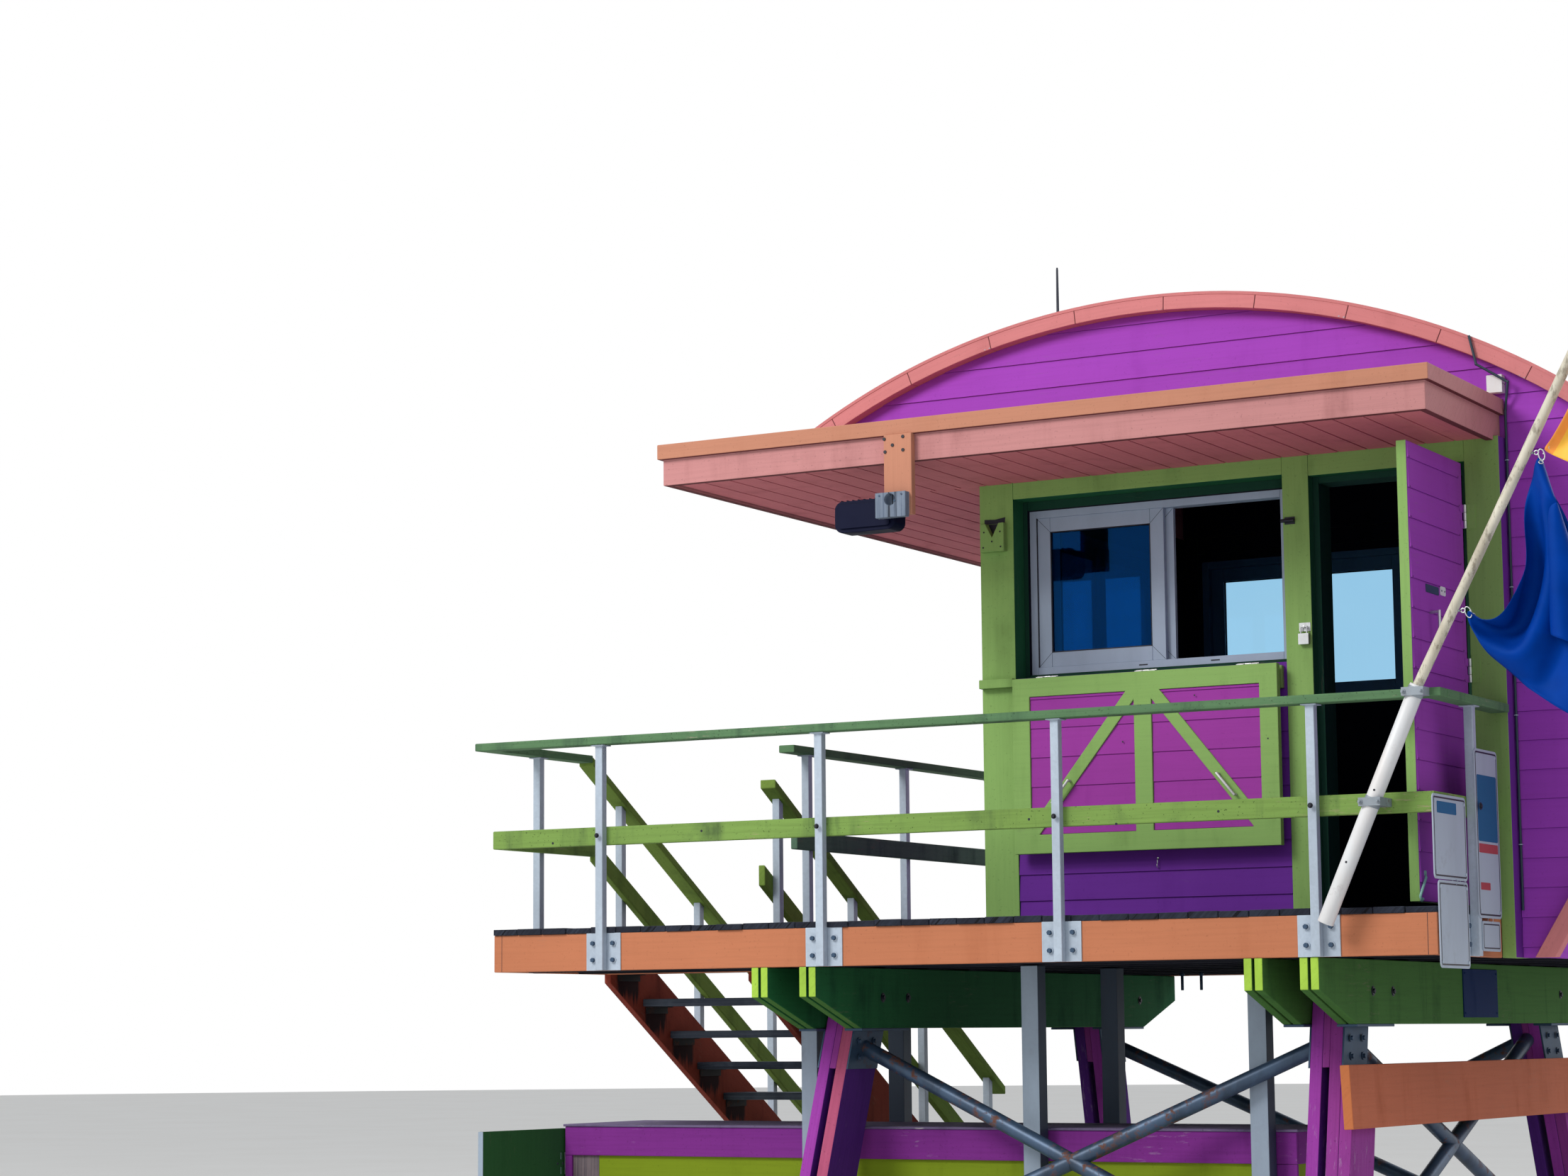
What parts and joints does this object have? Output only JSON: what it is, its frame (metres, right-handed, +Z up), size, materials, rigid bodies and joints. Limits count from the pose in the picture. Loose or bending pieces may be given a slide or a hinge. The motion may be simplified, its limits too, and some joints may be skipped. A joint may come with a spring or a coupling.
{
  "type": "lifeguard tower",
  "caption": "Barrel-roofed hut on a raised timber deck with splayed slotted legs, outside stair, railings, hinged door and shutter, and a storage locker beneath.",
  "frame": {"origin": "on the ground under the middle of the whole tower, with door, shutter and locker door open as stored", "axes": "+X along the near side, from the seaward end to the leaning landward wall; +Y from the near side to the back; +Z up"},
  "size_m": [6.2796, 4.48, 5.4502],
  "materials": {
    "purple_siding": "painted",
    "purple_timber": "painted, weathered",
    "pink_timber": "painted, weathered",
    "lime_trim": "painted",
    "beam_green": "painted",
    "fascia_orange": "painted",
    "salmon": "painted",
    "board_red": "painted",
    "deck_wood": "weathered",
    "joist_wood": "weathered",
    "stringer_red": "painted",
    "tread_grey": "weathered",
    "galvanised": "galvanised",
    "dark_steel": "painted, rusty",
    "steel_post": "painted",
    "fittings": "satin",
    "window_alu": "matt anodised",
    "glass": "clear",
    "sign_white": "matt",
    "pole_white": "weathered",
    "flag_blue": "woven nylon",
    "flag_yellow": "woven nylon",
    "black_metal": "matt",
    "cable_black": "matt",
    "locker_green": "painted",
    "lid_wood": "worn paint",
    "door_green": "painted"
  },
  "bodies": {
    "tower": {"leg_planks": "purple_timber", "leg_blocks": "pink_timber", "leg_plates": "dark_steel", "bearing_plates": "dark_steel", "beams": "beam_green", "cross_braces": "dark_steel", "steel_posts": "steel_post", "fascia_boards": "fascia_orange", "joists": "joist_wood", "deck": "deck_wood", "hut_floor": "deck_wood", "stair_stringers": "stringer_red", "stair_treads": "tread_grey", "tread_cleats": "galvanised", "stair_handrails": "lime_trim", "rail_posts": "galvanised", "post_plates": "galvanised", "top_rails": "lime_trim", "mid_rails": "lime_trim", "low_walls": "purple_siding", "wall_piers": "lime_trim", "wall_heads": "lime_trim", "gables": "purple_siding", "corner_panels": "purple_siding", "ocean_wall": "purple_siding", "land_wall": "purple_siding", "roof_shell": "salmon", "roof_rims": "salmon", "canopy": "salmon", "window_casings": "lime_trim", "window_frames": "window_alu", "window_sashes": "window_alu", "window_glass": "glass", "door_casing": "lime_trim", "wall_fittings": "fittings", "equipment_holders": "lime_trim", "name_board": "board_red", "rail_signs": "sign_white", "flag_pole": "pole_white", "pole_clamps": "fittings", "blue_flag": "flag_blue", "yellow_flag": "flag_yellow", "flood_light": "black_metal", "antenna": "black_metal", "wall_box": "sign_white", "aerial_cable": "cable_black", "locker_panels": "locker_green", "locker_trim": "purple_timber", "locker_lid": "lid_wood"},
    "door": {"door_leaf": "purple_siding", "door_fittings": "fittings"},
    "shutter": {"shutter_frame": "lime_trim", "shutter_panel": "purple_siding", "shutter_fittings": "fittings"},
    "locker_leaf": {"locker_door": "door_green"}
  },
  "joints": [
    {"name": "door_hinge", "type": "hinge", "parent": "tower", "child": "door", "pos_m": [1.76207, -1.214, 3.188], "axis": [0, 0, 1], "range_deg": [-90, 0]},
    {"name": "shutter_hinge", "type": "hinge", "parent": "tower", "child": "shutter", "pos_m": [0.18707, -1.224, 3.337], "axis": [-1, 0, 0], "range_deg": [0, 180]},
    {"name": "locker_hinge", "type": "hinge", "parent": "tower", "child": "locker_leaf", "pos_m": [-3.06593, -1.254, 0.59], "axis": [0, 0, 1], "range_deg": [-177, 0]}
  ]
}
